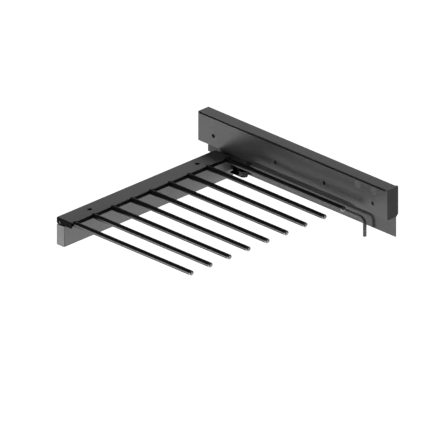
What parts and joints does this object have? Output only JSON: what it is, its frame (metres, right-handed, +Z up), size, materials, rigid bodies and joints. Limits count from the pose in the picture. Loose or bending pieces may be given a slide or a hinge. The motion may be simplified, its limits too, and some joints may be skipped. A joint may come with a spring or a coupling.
{
  "type": "pull-out trouser rack",
  "caption": "Side-mounted trouser rack: a closed rail housing carries a trolley, cross tube and cantilevered rods that pull out forward by a bent wire handle.",
  "frame": {"origin": "on the back plate's rear face, on the line of the fixing holes, half way along the housing", "axes": "+X goes into the wardrobe's side panel, the rack stands out towards -X, -Y is the pull-out direction and +Z is up"},
  "size_m": [0.4505, 0.5, 0.1211],
  "materials": {
    "housing_paint": "satin anthracite powder coat",
    "cap_plastic": "fine-textured dark grey",
    "track_aluminium": "mill",
    "zinc_steel": "zinc plated",
    "button_plastic": "satin anthracite",
    "buffer_rubber": "matt",
    "block_plastic": "glass-filled nylon",
    "roller_plastic": "acetal, natural white",
    "guide_roller_plastic": "acetal, dark grey",
    "black_steel": "black zinc",
    "tube_paint": "satin grey powder coat",
    "tube_cap_plastic": "satin grey",
    "carrier_paint": "satin anthracite powder coat",
    "holder_plastic": "moulded black nylon",
    "rod_gloss": "gloss black coating",
    "rod_tip_plastic": "satin light grey",
    "wire_paint": "satin anthracite coating",
    "screw_grey": "grey passivated"
  },
  "bodies": {
    "housing": {"back_plate": "housing_paint", "cover": "housing_paint", "front_end_cap": "cap_plastic", "rear_end_cap": "cap_plastic", "track": "track_aluminium", "track_rivets": "zinc_steel", "cover_bracket_front": "zinc_steel", "cover_bracket_rear": "zinc_steel", "bracket_rivets": "zinc_steel", "cover_buttons": "button_plastic", "front_buffer": "buffer_rubber", "rear_buffer": "buffer_rubber"},
    "rack": {"trolley_hanger": "zinc_steel", "trolley_block": "block_plastic", "hanger_screws": "zinc_steel", "load_axles": "zinc_steel", "axle_nuts": "zinc_steel", "guide_arm": "black_steel", "guide_pin": "black_steel", "crossbar_bolts": "black_steel", "crossbar_nuts": "zinc_steel", "crossbar_tube": "tube_paint", "tube_end_cap": "tube_cap_plastic", "carrier_sheet": "carrier_paint", "rod_holder": "holder_plastic", "carrier_end_cap_outer": "holder_plastic", "carrier_end_cap_inner": "holder_plastic", "carrier_end_screws": "screw_grey", "carrier_screws": "black_steel", "standoffs": "zinc_steel", "tube_screws": "zinc_steel", "rod_1": "rod_gloss", "rod_2": "rod_gloss", "rod_3": "rod_gloss", "rod_4": "rod_gloss", "rod_5": "rod_gloss", "rod_6": "rod_gloss", "rod_7": "rod_gloss", "rod_8": "rod_gloss", "rod_9": "rod_gloss", "rod_tips": "rod_tip_plastic", "handle_wire": "wire_paint"},
    "front_load_roller": {"load_roller_front": "roller_plastic"},
    "rear_load_roller": {"load_roller_rear": "roller_plastic"},
    "guide_roller": {"guide_roller": "guide_roller_plastic"}
  },
  "joints": [
    {"name": "pull_out", "type": "slide", "parent": "housing", "child": "rack", "axis": [0, -1, 0], "range_m": [0, 0.36]},
    {"name": "front_load_roller_spin", "type": "hinge", "parent": "rack", "child": "front_load_roller", "pos_m": [-0.009, 0.139, 0.018], "axis": [1, 0, 0], "continuous": true},
    {"name": "rear_load_roller_spin", "type": "hinge", "parent": "rack", "child": "rear_load_roller", "pos_m": [-0.009, 0.223, 0.018], "axis": [1, 0, 0], "continuous": true},
    {"name": "guide_roller_spin", "type": "hinge", "parent": "rack", "child": "guide_roller", "pos_m": [-0.0113, 0.146, -0.0585], "axis": [0, 0, 1], "continuous": true}
  ],
  "couplings": [
    {"joint": "front_load_roller_spin", "follows": "pull_out", "rad_per_m": 98.039},
    {"joint": "rear_load_roller_spin", "follows": "pull_out", "rad_per_m": 98.039},
    {"joint": "guide_roller_spin", "follows": "pull_out", "rad_per_m": 111.11}
  ]
}
